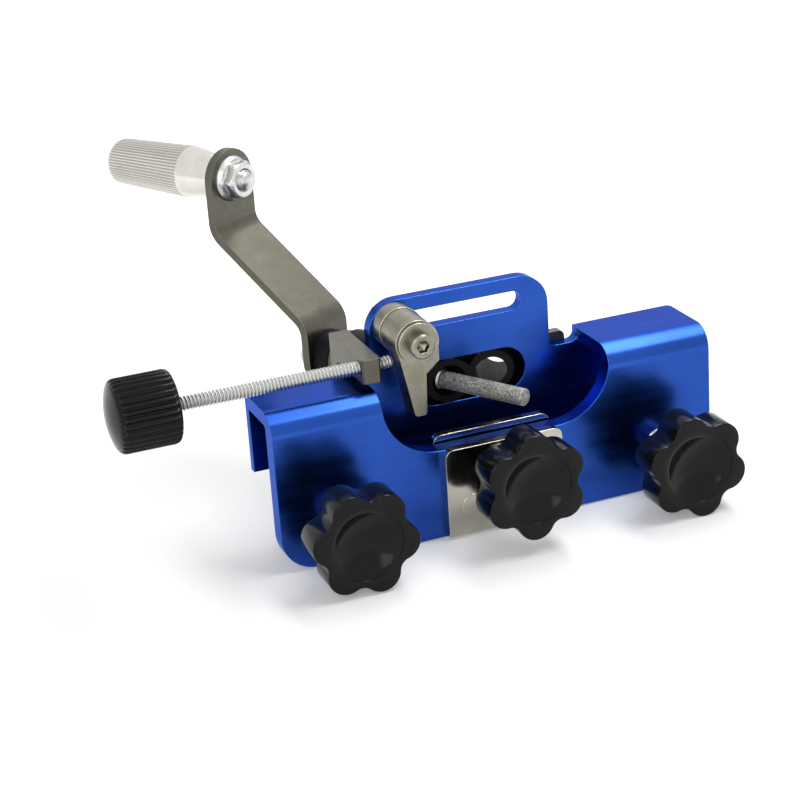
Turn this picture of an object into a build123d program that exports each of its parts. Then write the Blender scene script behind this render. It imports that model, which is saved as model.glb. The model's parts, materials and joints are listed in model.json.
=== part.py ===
from build123d import *
import math
import os

# Hand-cranked sharpener for a saw chain, clamped over the chain's guide bar.
# Millimetres. X runs along the bar, Y to the back, Z up.
# The origin is the middle of the bar slot, level with the lower edges of the walls.

# Channel body
body_length = 104.0
front_height = 36.0
slot_width = 11.5
front_wall = 4.0
back_wall = 3.0
web = 3.0
front_bend = 5.0
inner_bend = 1.0
front_corner = 8.0
back_corner = 1.2
relief_length = 8.0
relief_height = 18.0
relief_corner = 4.0

# Notch through the front wall and the web
notch_width = 54.0
notch_depth = 15.5
notch_corner = 13.0

# Slotted tab on the back wall
tab_width = 43.0
tab_rise = 15.0
tab_corner = 7.0
tab_centre_x = -1.7
dip_depth = 3.0
dip_corner = 1.8
tab_slot_end_margin = 3.6
tab_slot_height = 4.5
tab_slot_length = 33.0
tab_slot_below_top = 5.4

# Spindle, at the filing angle to the bar's normal
filing_angle = 30.0
spindle_height = 29.8
spindle_spacing = 10.0
opening_width = 27.2
opening_height = 10.4
nose_radius = 5.0
tube_radius = 5.5
tube_reach = 18.2
nose_overrun = 4.0
shaft_radius = 2.5
bush_radius = 3.5
sleeve_radius = 4.5
collar_radius = 7.2
collar_edge = 0.6
collar_end = 28.0
sleeve_start = 3.0
running_clearance = 0.05
file_radius = 2.0
file_reach = 20.7
file_root = 1.5
file_edge = 0.2
shank_radius = 1.5
shank_end = 10.0
shaft_start = 1.6
ring_start = 4.6
ring_thickness = 1.0
ring_radius = 3.2
ring_slit = 1.2
bush_start = 5.7
bush_flange_radius = 6.6
bush_flange_thickness = 1.5
rest_gap = 0.3
hub_radius = 6.0
hub_length = 4.9
hub_edge = 0.5
grub_radius = 1.5
grub_sink = 0.4
grub_socket = 1.5

# Crank
arm_width = 14.0
arm_thickness = 2.0
arm_root = 8.5
arm_joggle_back = 25.8
arm_joggle_rise = 18.8
arm_top = 11.9
arm_bend = 5.0
nut_flats = 8.0
shaft_nut_thickness = 3.2
handle_bolt_radius = 2.5
flange_nut_thickness = 4.0
flange_nut_flange = 1.2
flange_nut_flange_radius = 5.4
bolt_end = 1.6
handle_washer_thickness = 0.8
handle_washer_radius = 4.8
grip_length = 33.0
grip_small_radius = 4.8
grip_neck_length = 9.5
grip_large_radius = 6.2
grip_end_radius = 5.5
grip_edge = 0.8
grip_recess_radius = 4.4
grip_recess_depth = 4.5
bolt_head_radius = 4.0
bolt_head_height = 2.8
bolt_socket = 3.0
bolt_socket_depth = 1.8

# Plates behind and in front of the walls
rear_plate_left = -29.3
rear_plate_right = 25.0
rear_plate_bottom = 15.0
rear_plate_top = 35.2
rear_plate_thickness = 2.0
rear_plate_corner = 1.5
rear_opening_extra = 2.0
flange_thickness = 4.0
flange_width = 30.0
flange_bottom = 15.4
flange_top = 34.6
flange_corner = 3.0
block_screw_spacing = 16.0
block_screw_height = 19.0
block_screw_radius = 2.0
block_screw_head_radius = 3.6
block_screw_head_height = 2.4
block_screw_socket = 2.5
block_screw_socket_depth = 1.4
front_plate_width = 28.0
front_plate_bottom = 0.4
front_plate_top = 20.9
front_plate_thickness = 2.0
front_plate_corner = 2.0
rivet_spacing = 16.0
rivet_height = 7.0
rivet_radius = 1.5
rivet_head_radius = 2.6
rivet_head_depth = 1.2
wall_skin = 0.5

# Clamps
clamp_end_margin = 13.0
clamp_height = 11.5
chain_clamp_height = 15.5
stud_radius = 3.0
stud_nose_radius = 2.0
knob_face_gap = 18.5
knob_radius = 12.0
knob_lobe_radius = 4.2
knob_valley_fillet = 2.6
knob_thickness = 8.5
knob_edge = 0.9
knob_hub_radius = 6.5
knob_hub_length = 3.7
dish_radius = 8.1
dish_depth = 3.2
knob_floor = 1.0
left_phase = -8.4
middle_phase = 27.6
right_phase = -18.9
pad_radius = 4.5
pad_thickness = 2.5
pad_gap = 0.3
pad_nose_floor = 0.6
clamp_plate_width = 28.0
clamp_plate_bottom = 2.5
clamp_plate_top = 22.0
clamp_plate_thickness = 2.0
clamp_plate_gap = 0.8
clamp_plate_corner = 2.0

# Adjusting rod and its bracket
rod_radius = 1.6
rod_y = -2.75
rod_rise = 4.6
rod_in_knob = 5.7
rod_tip_length = 2.6
rod_tip_nose = 0.9
rod_tip_radius = 1.45
rod_pin_radius = 0.8
rod_pin_length = 1.4
adjust_knob_radius = 8.0
adjust_knob_length = 12.7
adjust_knob_dome = 1.8
adjust_knob_ribs = 24
adjust_knob_groove = 0.6
adjust_knob_gap = 18.3
bracket_width = 4.3
bracket_leg = 4.2
bracket_lift = 1.6
bracket_cover = 2.4
bracket_leg_bottom = 23.0
bracket_screw_height = 28.5
bracket_screw_radius = 1.5
bracket_screw_head_radius = 2.75
bracket_screw_head_height = 2.6
bracket_screw_socket = 2.5
bracket_screw_socket_depth = 1.4
bracket_edge = 0.5

# Pawl on its bolt
pawl_x = -17.2
pawl_boss_radius = 4.9
pawl_boss_length = 9.0
pawl_leg_thickness = 6.0
pawl_spacer_length = 4.3
pawl_spacer_radius = 5.1
pawl_leg_left_top = -4.8
pawl_leg_left_bottom = -1.4
pawl_leg_right_top = 4.8
pawl_shoulder_drop = 5.0
pawl_leg_right_waist = 1.7
pawl_waist_drop = 7.6
pawl_leg_right_bottom = 1.3
pawl_leg_drop = 16.9
pawl_foot_corner = 0.8
pawl_bolt_radius = 1.5
pawl_washer_radius = 4.6
pawl_washer_thickness = 1.0
pawl_head_radius = 2.75
pawl_head_height = 2.6
pawl_socket = 2.5
pawl_socket_depth = 1.5
pawl_stem_radius = 2.0
slot_nut_side = 6.0
slot_nut_thickness = 2.4
slot_bolt_end = 1.0
contact_gap = 0.1
slide_gap = 0.05

# How far a cut runs past the face it leaves, and how near an edge is to the place it is picked by
cut_margin = 1.0
pick_margin = 0.01

# Planes and levels that the sizes give
front_face = -slot_width / 2 - front_wall
front_inner = -slot_width / 2
back_inner = slot_width / 2
back_face = back_inner + back_wall
half_length = body_length / 2
clamp_x = half_length - clamp_end_margin
tab_top = front_height + tab_rise
tab_slot_z = tab_top - tab_slot_below_top
tab_left = tab_centre_x - tab_width / 2
tab_right = tab_centre_x + tab_width / 2
tab_slot_left = tab_left + tab_slot_end_margin
rear_face = back_face + rear_plate_thickness
block_screw_x = block_screw_spacing / 2
block_screw_places = ((-block_screw_x, block_screw_height), (block_screw_x, block_screw_height))
rivet_places = ((-rivet_spacing / 2, rivet_height), (rivet_spacing / 2, rivet_height))
plate_face = front_face - front_plate_thickness
knob_face = front_face - knob_face_gap
knob_back = knob_face + knob_thickness
stud_start = knob_face + dish_depth + knob_floor
angle = math.radians(filing_angle)
spindle_x = spindle_spacing / 2
opening_depth = (back_wall + rear_plate_thickness) / math.cos(angle)
bush_flange_start = collar_end + rest_gap
bush_flange_end = bush_flange_start + bush_flange_thickness
hub_start = bush_flange_end + rest_gap
arm_front = hub_start + hub_length
arm_middle = arm_front + arm_thickness / 2
arm_back = arm_front + arm_thickness
arm_reach = arm_root + arm_joggle_rise + arm_top
top_middle = arm_middle + arm_joggle_back
grip_start = top_middle + arm_thickness / 2 + handle_washer_thickness + running_clearance
grip_end = grip_start + grip_length
bolt_head_start = grip_end - grip_recess_depth + rest_gap
shaft_nut_end = arm_back + shaft_nut_thickness
pawl_back = back_inner - slide_gap - pawl_spacer_length
pawl_front = pawl_back - slide_gap - pawl_boss_length
washer_front = pawl_front - slide_gap - pawl_washer_thickness
pawl_lean = (pawl_leg_left_bottom - pawl_leg_left_top) / pawl_leg_drop
rod_height = front_height + rod_rise
rod_drop = tab_slot_z - rod_height - rod_tip_radius
rod_end = pawl_x + pawl_leg_left_top + pawl_lean * rod_drop - contact_gap
rod_shoulder = rod_end - rod_tip_length
knob_back_x = -half_length - adjust_knob_gap
knob_end_x = knob_back_x - adjust_knob_length
rod_left = knob_back_x - rod_in_knob
bracket_back = rear_face + bracket_leg
bracket_x = rear_plate_left + bracket_width / 2
bracket_bottom = front_height + bracket_lift
bracket_top = rod_height + bracket_cover


def facing_front(y):
    """Sketch plane at a depth y: local X is +X, local Y is +Z, extrusion goes to the front."""
    return Plane.XZ.offset(-y)


def near(edges, axis, place):
    """The edges that lie at one place along an axis."""
    return edges.filter_by_position(axis, place - pick_margin, place + pick_margin)


def along_spindle(side, distance=0.0, rise=0.0):
    """Sketch plane across a spindle axis, a distance behind the back wall's inner face.

    side is -1 for the axis in use and +1 for its mirror image.
    Local Y is up and extrusion goes to the rear.
    """
    rear = Vector(side * math.sin(angle), math.cos(angle), 0)
    start = Vector(side * spindle_x, back_inner, spindle_height + rise)
    across = (-math.cos(angle), side * math.sin(angle), 0)
    return Plane(origin=start + rear * distance, x_dir=across, z_dir=rear)


def spindle_side_plane(rise=0.0):
    """Plane through the used spindle axis: local X runs to the rear, local Y is +Z."""
    rear = Vector(-math.sin(angle), math.cos(angle), 0)
    start = Vector(-spindle_x, back_inner, spindle_height + rise)
    return Plane(origin=start, x_dir=rear, z_dir=(math.cos(angle), math.sin(angle), 0))


def keep(built, name):
    """Label a finished piece and write it under its own name."""
    built.part.label = name
    export_step(built.part, f"parts/{name}.step")
    print(name, round(built.part.volume, 1), "mm3,", len(built.part.solids()), "solid")


os.makedirs("parts", exist_ok=True)


# Channel body: walls and web, tab, notch, openings and holes
with BuildPart() as body_channel:
    with BuildSketch(Plane.YZ.offset(-half_length)):
        with Locations(((front_face + back_face) / 2, front_height / 2)):
            Rectangle(back_face - front_face, front_height)
        with Locations((0, (front_height - web) / 2)):
            Rectangle(slot_width, front_height - web, mode=Mode.SUBTRACT)
    extrude(amount=body_length)
    long_edges = body_channel.edges().filter_by(Axis.X)
    fillet(long_edges.group_by(Axis.Z)[-1].sort_by(Axis.Y)[0], front_bend)
    inner_edges = near(body_channel.edges().filter_by(Axis.X), Axis.Y, front_inner)
    fillet(inner_edges.sort_by(Axis.Z)[-1], inner_bend)
    rear_edges = near(body_channel.edges().filter_by(Axis.Z), Axis.Y, back_face)
    fillet(rear_edges, back_corner)

    # Tab, standing up from the back wall
    with BuildSketch(facing_front(back_face)):
        with Locations((tab_centre_x, front_height + tab_rise / 2)):
            Rectangle(tab_width, tab_rise)
    extrude(amount=back_wall)
    tab_corners = body_channel.edges().filter_by(Axis.Y).group_by(Axis.Z)[-1]
    fillet(tab_corners, tab_corner)

    # Notch through the web and the front wall
    with BuildSketch(facing_front(back_inner)) as notch:
        with Locations((0, front_height + (cut_margin - notch_depth) / 2)):
            Rectangle(notch_width, notch_depth + cut_margin)
        fillet(notch.vertices().group_by(Axis.Y)[0], notch_corner)
    extrude(amount=slot_width + front_wall + cut_margin, mode=Mode.SUBTRACT)

    # Dips in the back wall's edge on both sides of the tab
    for low, high in ((-notch_width / 2, tab_left), (tab_right, notch_width / 2)):
        with BuildSketch(facing_front(back_face + cut_margin)) as dip:
            with Locations(((low + high) / 2, front_height + (cut_margin - dip_depth) / 2)):
                Rectangle(high - low, dip_depth + cut_margin)
            fillet(dip.vertices().group_by(Axis.Y)[0], min(dip_corner, 0.49 * (high - low)))
        extrude(amount=back_wall + 2 * cut_margin, mode=Mode.SUBTRACT)

    # Lower corners: rounded on the front wall, stepped on the back wall
    with BuildSketch(facing_front(back_face + cut_margin)) as relief:
        for side in (-1, 1):
            relief_x = side * (half_length + (cut_margin - relief_length) / 2)
            with Locations((relief_x, (relief_height - cut_margin) / 2)):
                Rectangle(relief_length + cut_margin, relief_height + cut_margin)
        inner_corners = relief.vertices().group_by(Axis.Y)[-1].sort_by(Axis.X)[1:3]
        fillet(inner_corners, relief_corner)
    extrude(amount=back_wall + 2 * cut_margin, mode=Mode.SUBTRACT)
    low_edges = body_channel.edges().filter_by(Axis.Y).filter_by_position(Axis.Y, front_face, front_inner)
    fillet(near(low_edges, Axis.Z, 0), front_corner)

    # Tab slot and spindle opening in the back wall
    with BuildSketch(facing_front(back_face + cut_margin)):
        with Locations((tab_slot_left + tab_slot_length / 2, tab_slot_z)):
            SlotOverall(tab_slot_length, tab_slot_height)
        with Locations((0, spindle_height)):
            SlotOverall(opening_width, opening_height)
    extrude(amount=back_wall + 2 * cut_margin, mode=Mode.SUBTRACT)

    # Screw holes: three clamps and two rivets in front, three screws in the back wall
    with BuildSketch(facing_front(front_inner + cut_margin)):
        with Locations((-clamp_x, clamp_height), (clamp_x, clamp_height), (0, chain_clamp_height)):
            Circle(stud_radius + running_clearance)
    extrude(amount=front_wall + 2 * cut_margin, mode=Mode.SUBTRACT)
    with BuildSketch(facing_front(front_inner - wall_skin)):
        with Locations(*rivet_places):
            Circle(rivet_radius)
    extrude(amount=front_wall, mode=Mode.SUBTRACT)
    with BuildSketch(facing_front(back_face + cut_margin)):
        with Locations(*block_screw_places):
            Circle(block_screw_radius)
        with Locations((bracket_x, bracket_screw_height)):
            Circle(bracket_screw_radius)
    extrude(amount=back_wall + cut_margin - wall_skin, mode=Mode.SUBTRACT)
keep(body_channel, "body_channel")


# Steel plate on the front wall, tapped for the middle stud
with BuildPart() as front_plate:
    with BuildSketch(facing_front(front_face)) as outline:
        with Locations((0, (front_plate_bottom + front_plate_top) / 2)):
            Rectangle(front_plate_width, front_plate_top - front_plate_bottom)
        fillet(outline.vertices().group_by(Axis.Y)[-1], front_plate_corner)
        with Locations((0, chain_clamp_height)):
            Circle(stud_radius + running_clearance, mode=Mode.SUBTRACT)
    extrude(amount=front_plate_thickness)
    with Locations(facing_front(plate_face)):
        with Locations(*rivet_places):
            CounterSinkHole(rivet_radius, rivet_head_radius)
keep(front_plate, "front_plate")


# Two flush rivets through the front plate
with BuildPart() as plate_rivets:
    with BuildSketch(facing_front(front_inner - wall_skin)):
        with Locations(*rivet_places):
            Circle(rivet_radius)
    extrude(amount=front_wall - wall_skin + front_plate_thickness)
    for side in (-1, 1):
        seat = facing_front(plate_face)
        with Locations(seat):
            with Locations((side * rivet_spacing / 2, rivet_height, -(rivet_head_radius - rivet_radius) / 2)):
                Cone(rivet_radius, rivet_head_radius, rivet_head_radius - rivet_radius)
keep(plate_rivets, "plate_rivets")


# Steel plate behind the back wall
with BuildPart() as rear_plate:
    with BuildSketch(facing_front(rear_face)) as outline:
        with Locations(((rear_plate_left + rear_plate_right) / 2, (rear_plate_bottom + rear_plate_top) / 2)):
            Rectangle(rear_plate_right - rear_plate_left, rear_plate_top - rear_plate_bottom)
        fillet(outline.vertices(), rear_plate_corner)
        with Locations((0, spindle_height)):
            SlotOverall(opening_width + rear_opening_extra, opening_height, mode=Mode.SUBTRACT)
        with Locations(*block_screw_places):
            Circle(block_screw_radius, mode=Mode.SUBTRACT)
        with Locations((bracket_x, bracket_screw_height)):
            Circle(bracket_screw_radius, mode=Mode.SUBTRACT)
    extrude(amount=rear_plate_thickness)
keep(rear_plate, "rear_plate")


def bearing_block(name, side):
    """Half a bearing block: flange, slanted tube behind it and a nose that fills the opening.

    side is -1 for the half in use and +1 for its mirror image; they meet at X = 0.
    """
    with BuildPart() as block:
        with BuildSketch(facing_front(rear_face + flange_thickness)) as outline:
            with Locations((side * flange_width / 4, (flange_bottom + flange_top) / 2)):
                Rectangle(flange_width / 2, flange_top - flange_bottom)
            corners = outline.vertices().sort_by(Axis.X)
            fillet(corners[-2:] if side > 0 else corners[:2], flange_corner)
        extrude(amount=flange_thickness)
        with BuildSketch(along_spindle(side)):
            Circle(tube_radius)
        extrude(amount=tube_reach)
        with Locations((0, rear_face - body_length / 2, spindle_height)):
            Box(body_length, body_length, body_length, mode=Mode.SUBTRACT)
        with BuildSketch(along_spindle(side, -nose_overrun)):
            Circle(nose_radius)
        extrude(amount=nose_overrun + opening_depth + flange_thickness)
        with Locations((0, back_inner - body_length / 2, spindle_height)):
            Box(body_length, body_length, body_length, mode=Mode.SUBTRACT)
        with Locations((-side * body_length / 2, back_inner, spindle_height)):
            Box(body_length, body_length, body_length, mode=Mode.SUBTRACT)
        with BuildSketch(along_spindle(side, -nose_overrun)):
            Circle(bush_radius + running_clearance)
        extrude(amount=nose_overrun + sleeve_start, mode=Mode.SUBTRACT)
        with BuildSketch(along_spindle(side, sleeve_start)):
            Circle(sleeve_radius)
        extrude(amount=tube_reach, mode=Mode.SUBTRACT)
        with BuildSketch(facing_front(rear_face + flange_thickness)):
            with Locations((side * block_screw_x, block_screw_height)):
                Circle(block_screw_radius)
        extrude(amount=flange_thickness, mode=Mode.SUBTRACT)
    keep(block, name)


bearing_block("left_bearing_block", -1)
bearing_block("right_bearing_block", 1)


# Two screws that hold the block's halves and the rear plate to the back wall
with BuildPart() as block_screws:
    head_seat = rear_face + flange_thickness
    with BuildSketch(facing_front(head_seat)):
        with Locations(*block_screw_places):
            Circle(block_screw_radius)
    extrude(amount=head_seat - back_inner - wall_skin)
    with BuildSketch(facing_front(head_seat + block_screw_head_height)):
        with Locations(*block_screw_places):
            Circle(block_screw_head_radius)
    extrude(amount=block_screw_head_height)
    with BuildSketch(facing_front(head_seat + block_screw_head_height)):
        with Locations(*block_screw_places):
            RegularPolygon(block_screw_socket / 2, 6, major_radius=False)
    extrude(amount=block_screw_socket_depth, mode=Mode.SUBTRACT)
keep(block_screws, "block_screws")


# Guide sleeve, seated in the bore in use, with a thick collar behind it
with BuildPart() as guide_sleeve:
    with BuildSketch(along_spindle(-1, sleeve_start)):
        Circle(sleeve_radius)
    extrude(amount=tube_reach - sleeve_start)
    with BuildSketch(along_spindle(-1, tube_reach)):
        Circle(collar_radius)
    extrude(amount=collar_end - tube_reach)
    chamfer(guide_sleeve.edges().filter_by(GeomType.CIRCLE).sort_by(SortBy.RADIUS)[-2:], collar_edge)
    with BuildSketch(along_spindle(-1, sleeve_start)):
        Circle(bush_radius + running_clearance)
    extrude(amount=collar_end - sleeve_start, mode=Mode.SUBTRACT)
keep(guide_sleeve, "guide_sleeve")


# Slide bush: moves in the sleeve with the file, flange at the rear
with BuildPart() as slide_bush:
    with BuildSketch(along_spindle(-1, bush_start)):
        Circle(bush_radius)
    extrude(amount=bush_flange_end - bush_start)
    with BuildSketch(along_spindle(-1, bush_flange_start)):
        Circle(bush_flange_radius)
    extrude(amount=bush_flange_thickness)
    with BuildSketch(along_spindle(-1, bush_start)):
        Circle(shaft_radius + running_clearance)
    extrude(amount=bush_flange_end - bush_start, mode=Mode.SUBTRACT)
keep(slide_bush, "slide_bush")


# Bracket that carries the adjusting rod over the web
with BuildPart() as rod_bracket:
    with BuildSketch(Plane.YZ.offset(rear_plate_left)):
        with Locations(((front_inner + bracket_back) / 2, (bracket_bottom + bracket_top) / 2)):
            Rectangle(bracket_back - front_inner, bracket_top - bracket_bottom)
        with Locations((bracket_back - bracket_leg / 2, (bracket_leg_bottom + bracket_top) / 2)):
            Rectangle(bracket_leg, bracket_top - bracket_leg_bottom)
    extrude(amount=bracket_width)
    chamfer(rod_bracket.edges().filter_by(Axis.Z).group_by(Axis.Y)[0], bracket_edge)
    with BuildSketch(Plane.YZ.offset(rear_plate_left)):
        with Locations((rod_y, rod_height)):
            Circle(rod_radius + running_clearance)
    extrude(amount=bracket_width, mode=Mode.SUBTRACT)
    with BuildSketch(facing_front(bracket_back)):
        with Locations((bracket_x, bracket_screw_height)):
            Circle(bracket_screw_radius)
    extrude(amount=bracket_leg, mode=Mode.SUBTRACT)
keep(rod_bracket, "rod_bracket")


# Screw through the bracket's leg and the rear plate into the back wall
with BuildPart() as bracket_screw:
    with BuildSketch(facing_front(bracket_back)):
        with Locations((bracket_x, bracket_screw_height)):
            Circle(bracket_screw_radius)
    extrude(amount=bracket_back - back_inner - wall_skin)
    with BuildSketch(facing_front(bracket_back + bracket_screw_head_height)):
        with Locations((bracket_x, bracket_screw_height)):
            Circle(bracket_screw_head_radius)
    extrude(amount=bracket_screw_head_height)
    with BuildSketch(facing_front(bracket_back + bracket_screw_head_height)):
        with Locations((bracket_x, bracket_screw_height)):
            RegularPolygon(bracket_screw_socket / 2, 6, major_radius=False)
    extrude(amount=bracket_screw_socket_depth, mode=Mode.SUBTRACT)
keep(bracket_screw, "bracket_screw")


# Round file with a thin shank
with BuildPart() as file:
    with BuildSketch(along_spindle(-1, -file_reach)):
        Circle(file_radius)
    extrude(amount=file_reach + file_root)
    chamfer(file.edges().filter_by(GeomType.CIRCLE).sort_by(Axis.Y)[0], file_edge)
    with BuildSketch(along_spindle(-1, file_root)):
        Circle(shank_radius)
    extrude(amount=shank_end - file_root)
keep(file, "file")


# Shaft, bored in front for the file's shank
with BuildPart() as shaft:
    with BuildSketch(along_spindle(-1, shaft_start)):
        Circle(shaft_radius)
    extrude(amount=shaft_nut_end + bolt_end - shaft_start)
    with BuildSketch(along_spindle(-1, shaft_start)):
        Circle(shank_radius)
    extrude(amount=shank_end - shaft_start, mode=Mode.SUBTRACT)
keep(shaft, "shaft")


# Split ring that keeps the bush on the shaft
with BuildPart() as retaining_ring:
    with BuildSketch(along_spindle(-1, ring_start)):
        Circle(ring_radius)
        Circle(shaft_radius, mode=Mode.SUBTRACT)
        with Locations((0, -ring_radius)):
            Rectangle(ring_slit, ring_radius, mode=Mode.SUBTRACT)
    extrude(amount=ring_thickness)
keep(retaining_ring, "retaining_ring")


# Hub in front of the arm's root, drilled from below for its grub screw
hub_middle = hub_start + hub_length / 2
hub_centre = along_spindle(-1, hub_middle).origin
below_hub = Plane(origin=hub_centre, x_dir=(1, 0, 0), z_dir=(0, 0, -1))
with BuildPart() as crank_hub:
    with BuildSketch(along_spindle(-1, hub_start)):
        Circle(hub_radius)
    extrude(amount=hub_length)
    chamfer(crank_hub.edges().filter_by(GeomType.CIRCLE).sort_by(Axis.Y)[0], hub_edge)
    with BuildSketch(along_spindle(-1, hub_start)):
        Circle(shaft_radius)
    extrude(amount=hub_length, mode=Mode.SUBTRACT)
    with BuildSketch(below_hub):
        Circle(grub_radius)
    extrude(amount=hub_radius, mode=Mode.SUBTRACT)
keep(crank_hub, "crank_hub")


# Grub screw that pins the hub to the shaft
with BuildPart() as hub_grub_screw:
    with BuildSketch(below_hub.offset(shaft_radius)):
        Circle(grub_radius)
    extrude(amount=hub_radius - grub_sink - shaft_radius)
    with BuildSketch(below_hub.offset(hub_radius - grub_sink)):
        RegularPolygon(grub_socket / 2, 6, major_radius=False)
    extrude(amount=-grub_socket, mode=Mode.SUBTRACT)
keep(hub_grub_screw, "hub_grub_screw")


# Crank arm: a strip with rounded ends, bent twice to step to the rear
with BuildPart() as crank_arm:
    with BuildSketch(spindle_side_plane()):
        with BuildLine():
            FilletPolyline(
                (arm_middle, -arm_width),
                (arm_middle, arm_root),
                (top_middle, arm_root + arm_joggle_rise),
                (top_middle, arm_reach + arm_width),
                radius=arm_bend,
            )
        trace(line_width=arm_thickness)
    extrude(amount=arm_width / 2, both=True)
    with BuildSketch(along_spindle(-1, arm_front - arm_thickness)):
        with Locations((0, arm_reach / 2)):
            SlotCenterToCenter(arm_reach, arm_width, rotation=90)
    extrude(amount=arm_joggle_back + 3 * arm_thickness, mode=Mode.INTERSECT)
    with BuildSketch(along_spindle(-1, arm_front)):
        Circle(shaft_radius)
    extrude(amount=arm_thickness, mode=Mode.SUBTRACT)
    with BuildSketch(along_spindle(-1, arm_front + arm_joggle_back)):
        with Locations((0, arm_reach)):
            Circle(handle_bolt_radius)
    extrude(amount=arm_thickness, mode=Mode.SUBTRACT)
keep(crank_arm, "crank_arm")


# Nut behind the arm's root
with BuildPart() as shaft_nut:
    with BuildSketch(along_spindle(-1, arm_back)):
        RegularPolygon(nut_flats / 2, 6, major_radius=False)
        Circle(shaft_radius, mode=Mode.SUBTRACT)
    extrude(amount=shaft_nut_thickness)
keep(shaft_nut, "shaft_nut")


# Flange nut in front of the arm's top
nut_seat = arm_front + arm_joggle_back
with BuildPart() as flange_nut:
    with BuildSketch(along_spindle(-1, nut_seat - flange_nut_flange, arm_reach)):
        Circle(flange_nut_flange_radius)
    extrude(amount=flange_nut_flange)
    with BuildSketch(along_spindle(-1, nut_seat - flange_nut_thickness, arm_reach)):
        RegularPolygon(nut_flats / 2, 6, major_radius=False)
    extrude(amount=flange_nut_thickness)
    with BuildSketch(along_spindle(-1, nut_seat - flange_nut_thickness, arm_reach)):
        Circle(handle_bolt_radius)
    extrude(amount=flange_nut_thickness, mode=Mode.SUBTRACT)
keep(flange_nut, "flange_nut")


# Bolt that the grip turns on, its head sunk in the grip's end
bolt_front = nut_seat - flange_nut_thickness - bolt_end
bolt_head_end = bolt_head_start + bolt_head_height
with BuildPart() as handle_bolt:
    with BuildSketch(along_spindle(-1, bolt_front, arm_reach)):
        Circle(handle_bolt_radius)
    extrude(amount=bolt_head_start - bolt_front)
    with BuildSketch(along_spindle(-1, bolt_head_start, arm_reach)):
        Circle(bolt_head_radius)
    extrude(amount=bolt_head_height)
    with BuildSketch(along_spindle(-1, bolt_head_end - bolt_socket_depth, arm_reach)):
        RegularPolygon(bolt_socket / 2, 6, major_radius=False)
    extrude(amount=bolt_socket_depth, mode=Mode.SUBTRACT)
keep(handle_bolt, "handle_bolt")


# Washer between arm and grip
with BuildPart() as handle_washer:
    with BuildSketch(along_spindle(-1, nut_seat + arm_thickness, arm_reach)):
        Circle(handle_washer_radius)
        Circle(handle_bolt_radius, mode=Mode.SUBTRACT)
    extrude(amount=handle_washer_thickness)
keep(handle_washer, "handle_washer")


# Turning grip: tapered neck and a body that slims to its rounded, recessed end
with BuildPart() as grip:
    with BuildSketch(spindle_side_plane(arm_reach)):
        with BuildLine():
            Polyline(
                (grip_start, 0),
                (grip_start, grip_small_radius),
                (grip_start + grip_neck_length, grip_large_radius),
                (grip_end, grip_end_radius),
                (grip_end, 0),
                close=True,
            )
        make_face()
    grip_line = Axis(spindle_side_plane(arm_reach).origin, spindle_side_plane().x_dir)
    revolve(axis=grip_line)
    fillet(grip.edges().filter_by(GeomType.CIRCLE).sort_by(Axis.Y)[-1], grip_edge)
    with BuildSketch(along_spindle(-1, grip_start, arm_reach)):
        Circle(handle_bolt_radius + running_clearance)
    extrude(amount=grip_length, mode=Mode.SUBTRACT)
    with BuildSketch(along_spindle(-1, grip_end - grip_recess_depth, arm_reach)):
        Circle(grip_recess_radius)
    extrude(amount=grip_recess_depth, mode=Mode.SUBTRACT)
keep(grip, "grip")


# Spacer between tab and pawl, with a stem through the tab's slot
with BuildPart() as pawl_spacer:
    with BuildSketch(facing_front(back_inner - slide_gap)):
        with Locations((pawl_x, tab_slot_z)):
            Circle(pawl_spacer_radius)
    extrude(amount=pawl_spacer_length)
    with BuildSketch(facing_front(back_face + slide_gap)):
        with Locations((pawl_x, tab_slot_z)):
            Circle(pawl_stem_radius)
    extrude(amount=back_wall + 2 * slide_gap)
    with BuildSketch(facing_front(back_face + slide_gap)):
        with Locations((pawl_x, tab_slot_z)):
            Circle(pawl_bolt_radius)
    extrude(amount=back_wall + 2 * slide_gap + pawl_spacer_length, mode=Mode.SUBTRACT)
keep(pawl_spacer, "pawl_spacer")


# Pawl: round boss with a tapering leg that stops a chain tooth
with BuildPart() as pawl:
    with BuildSketch(facing_front(pawl_front + pawl_leg_thickness)) as leg:
        with BuildLine():
            Polyline(
                (pawl_x + pawl_leg_left_top, tab_slot_z),
                (pawl_x + pawl_leg_left_bottom, tab_slot_z - pawl_leg_drop),
                (pawl_x + pawl_leg_right_bottom, tab_slot_z - pawl_leg_drop),
                (pawl_x + pawl_leg_right_waist, tab_slot_z - pawl_waist_drop),
                (pawl_x + pawl_leg_right_top, tab_slot_z - pawl_shoulder_drop),
                (pawl_x + pawl_leg_right_top, tab_slot_z),
                close=True,
            )
        make_face()
        fillet(leg.vertices().group_by(Axis.Y)[0], pawl_foot_corner)
    extrude(amount=pawl_leg_thickness)
    with BuildSketch(facing_front(pawl_front + pawl_boss_length)):
        with Locations((pawl_x, tab_slot_z)):
            Circle(pawl_boss_radius)
    extrude(amount=pawl_boss_length)
    with BuildSketch(facing_front(pawl_front + pawl_boss_length)):
        with Locations((pawl_x, tab_slot_z)):
            Circle(pawl_bolt_radius + running_clearance)
    extrude(amount=pawl_boss_length, mode=Mode.SUBTRACT)
keep(pawl, "pawl")


# Washer in front of the pawl
with BuildPart() as pawl_washer:
    with BuildSketch(facing_front(washer_front + pawl_washer_thickness)):
        with Locations((pawl_x, tab_slot_z)):
            Circle(pawl_washer_radius)
            Circle(pawl_bolt_radius, mode=Mode.SUBTRACT)
    extrude(amount=pawl_washer_thickness)
keep(pawl_washer, "pawl_washer")


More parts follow.
